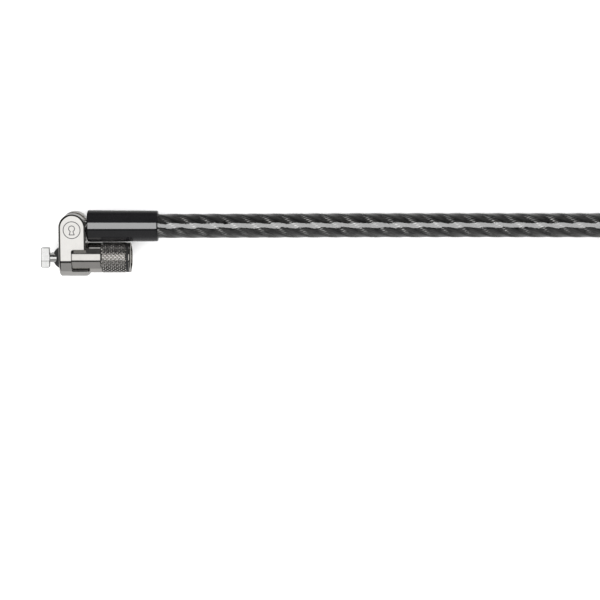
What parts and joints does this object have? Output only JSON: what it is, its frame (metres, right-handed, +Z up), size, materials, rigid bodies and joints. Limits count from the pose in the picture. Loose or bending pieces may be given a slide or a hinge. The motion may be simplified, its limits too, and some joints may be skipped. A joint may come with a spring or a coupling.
{
  "type": "laptop cable lock",
  "caption": "Keyed laptop cable lock: T-bar head with a tubular key barrel, pivoting and swivelling cable end, and a looped steel cable in a strapped coil.",
  "frame": {"origin": "under the middle of the lock's head and sleeve, on the surface it lies on", "axes": "+X along the barrel to the key end, +Y from the barrel to the cable, +Z up out of the front plate"},
  "size_m": [0.3049, 0.0942, 0.0341],
  "materials": {
    "nickel_casting": "bright nickel plate on a polished casting",
    "nickel_barrel": "nickel plate, knurled over the grip",
    "bumper_rubber": "matte moulded rubber",
    "bright_steel": "bright hardened steel",
    "lock_brass": "turned brass",
    "crimped_alloy": "satin, pressed",
    "cable_strands": "twisted galvanised wires",
    "gloss_black_sleeve": "glossy moulded black",
    "smoky_jacket": "smoky clear jacket over twisted strands",
    "woven_strap": "woven hook and loop",
    "spring_wire": "drawn wire"
  },
  "bodies": {
    "cable": {"cable_sleeve": "gloss_black_sleeve", "cable_ferrule": "crimped_alloy", "cable_core_end": "cable_strands", "thrust_washer": "lock_brass", "cable_run": "smoky_jacket", "cable_coil": "smoky_jacket", "cable_tail": "smoky_jacket", "loop_crimp": "crimped_alloy", "coil_tie": "woven_strap"},
    "swivel": {"swivel_eye": "bright_steel", "rivet_collar": "bright_steel"},
    "head": {"head_housing": "nickel_casting", "barrel_retaining_pin": "bright_steel", "rubber_bumper": "bumper_rubber", "anti_rotation_fork": "bright_steel", "barrel_shell": "nickel_barrel", "barrel_seal_ring": "bumper_rubber", "keyway_bezel": "nickel_barrel", "driver_block": "lock_brass", "pivot_pin": "bright_steel", "pin_spring_1": "spring_wire", "pin_spring_2": "spring_wire", "pin_spring_3": "spring_wire", "pin_spring_4": "spring_wire", "pin_spring_5": "spring_wire", "pin_spring_6": "spring_wire", "pin_spring_7": "spring_wire", "pin_spring_8": "spring_wire"},
    "plug": {"lock_plug": "nickel_barrel", "t_bar_spindle": "bright_steel"},
    "key_pin_1": {"key_pin_1": "lock_brass"},
    "driver_pin_1": {"driver_pin_1": "bright_steel"},
    "key_pin_2": {"key_pin_2": "lock_brass"},
    "driver_pin_2": {"driver_pin_2": "bright_steel"},
    "key_pin_3": {"key_pin_3": "lock_brass"},
    "driver_pin_3": {"driver_pin_3": "bright_steel"},
    "key_pin_4": {"key_pin_4": "lock_brass"},
    "driver_pin_4": {"driver_pin_4": "bright_steel"},
    "key_pin_5": {"key_pin_5": "lock_brass"},
    "driver_pin_5": {"driver_pin_5": "bright_steel"},
    "key_pin_6": {"key_pin_6": "lock_brass"},
    "driver_pin_6": {"driver_pin_6": "bright_steel"},
    "key_pin_7": {"key_pin_7": "lock_brass"},
    "driver_pin_7": {"driver_pin_7": "bright_steel"},
    "key_pin_8": {"key_pin_8": "lock_brass"},
    "driver_pin_8": {"driver_pin_8": "bright_steel"}
  },
  "joints": [
    {"name": "cable_swivel", "type": "hinge", "parent": "cable", "child": "swivel", "pos_m": [-0.00383, 0.00565, 0.0061], "axis": [-1, 0, 0], "continuous": true},
    {"name": "head_pivot", "type": "hinge", "parent": "swivel", "child": "head", "pos_m": [-0.00846, 0.00565, 0.0061], "axis": [0, 0, -1], "range_deg": [0, 95]},
    {"name": "key_turn", "type": "hinge", "parent": "head", "child": "plug", "pos_m": [-0.0023, -0.00475, 0.0061], "axis": [-1, 0, 0], "range_deg": [0, 90]},
    {"name": "key_pin_1_slide", "type": "slide", "parent": "plug", "child": "key_pin_1", "axis": [-1, 0, 0], "range_m": [0, 0.001], "stiffness_N_per_m": 100},
    {"name": "driver_pin_1_slide", "type": "slide", "parent": "head", "child": "driver_pin_1", "axis": [-1, 0, 0], "range_m": [0, 0.001], "deforming": ["pin_spring_1"]},
    {"name": "key_pin_2_slide", "type": "slide", "parent": "plug", "child": "key_pin_2", "axis": [-1, 0, 0], "range_m": [0, 0.001]},
    {"name": "driver_pin_2_slide", "type": "slide", "parent": "head", "child": "driver_pin_2", "axis": [-1, 0, 0], "range_m": [0, 0.001], "deforming": ["pin_spring_2"]},
    {"name": "key_pin_3_slide", "type": "slide", "parent": "plug", "child": "key_pin_3", "axis": [-1, 0, 0], "range_m": [0, 0.001]},
    {"name": "driver_pin_3_slide", "type": "slide", "parent": "head", "child": "driver_pin_3", "axis": [-1, 0, 0], "range_m": [0, 0.001], "deforming": ["pin_spring_3"]},
    {"name": "key_pin_4_slide", "type": "slide", "parent": "plug", "child": "key_pin_4", "axis": [-1, 0, 0], "range_m": [0, 0.001]},
    {"name": "driver_pin_4_slide", "type": "slide", "parent": "head", "child": "driver_pin_4", "axis": [-1, 0, 0], "range_m": [0, 0.001], "deforming": ["pin_spring_4"]},
    {"name": "key_pin_5_slide", "type": "slide", "parent": "plug", "child": "key_pin_5", "axis": [-1, 0, 0], "range_m": [0, 0.001]},
    {"name": "driver_pin_5_slide", "type": "slide", "parent": "head", "child": "driver_pin_5", "axis": [-1, 0, 0], "range_m": [0, 0.001], "deforming": ["pin_spring_5"]},
    {"name": "key_pin_6_slide", "type": "slide", "parent": "plug", "child": "key_pin_6", "axis": [-1, 0, 0], "range_m": [0, 0.001]},
    {"name": "driver_pin_6_slide", "type": "slide", "parent": "head", "child": "driver_pin_6", "axis": [-1, 0, 0], "range_m": [0, 0.001], "deforming": ["pin_spring_6"]},
    {"name": "key_pin_7_slide", "type": "slide", "parent": "plug", "child": "key_pin_7", "axis": [-1, 0, 0], "range_m": [0, 0.001]},
    {"name": "driver_pin_7_slide", "type": "slide", "parent": "head", "child": "driver_pin_7", "axis": [-1, 0, 0], "range_m": [0, 0.001], "deforming": ["pin_spring_7"]},
    {"name": "key_pin_8_slide", "type": "slide", "parent": "plug", "child": "key_pin_8", "axis": [-1, 0, 0], "range_m": [0, 0.001]},
    {"name": "driver_pin_8_slide", "type": "slide", "parent": "head", "child": "driver_pin_8", "axis": [-1, 0, 0], "range_m": [0, 0.001], "deforming": ["pin_spring_8"]}
  ],
  "couplings": [
    {"joint": "driver_pin_1_slide", "follows": "key_pin_1_slide", "ratio": 1},
    {"joint": "key_pin_2_slide", "follows": "key_pin_1_slide", "ratio": 1},
    {"joint": "driver_pin_2_slide", "follows": "key_pin_1_slide", "ratio": 1},
    {"joint": "key_pin_3_slide", "follows": "key_pin_1_slide", "ratio": 1},
    {"joint": "driver_pin_3_slide", "follows": "key_pin_1_slide", "ratio": 1},
    {"joint": "key_pin_4_slide", "follows": "key_pin_1_slide", "ratio": 1},
    {"joint": "driver_pin_4_slide", "follows": "key_pin_1_slide", "ratio": 1},
    {"joint": "key_pin_5_slide", "follows": "key_pin_1_slide", "ratio": 1},
    {"joint": "driver_pin_5_slide", "follows": "key_pin_1_slide", "ratio": 1},
    {"joint": "key_pin_6_slide", "follows": "key_pin_1_slide", "ratio": 1},
    {"joint": "driver_pin_6_slide", "follows": "key_pin_1_slide", "ratio": 1},
    {"joint": "key_pin_7_slide", "follows": "key_pin_1_slide", "ratio": 1},
    {"joint": "driver_pin_7_slide", "follows": "key_pin_1_slide", "ratio": 1},
    {"joint": "key_pin_8_slide", "follows": "key_pin_1_slide", "ratio": 1},
    {"joint": "driver_pin_8_slide", "follows": "key_pin_1_slide", "ratio": 1}
  ]
}
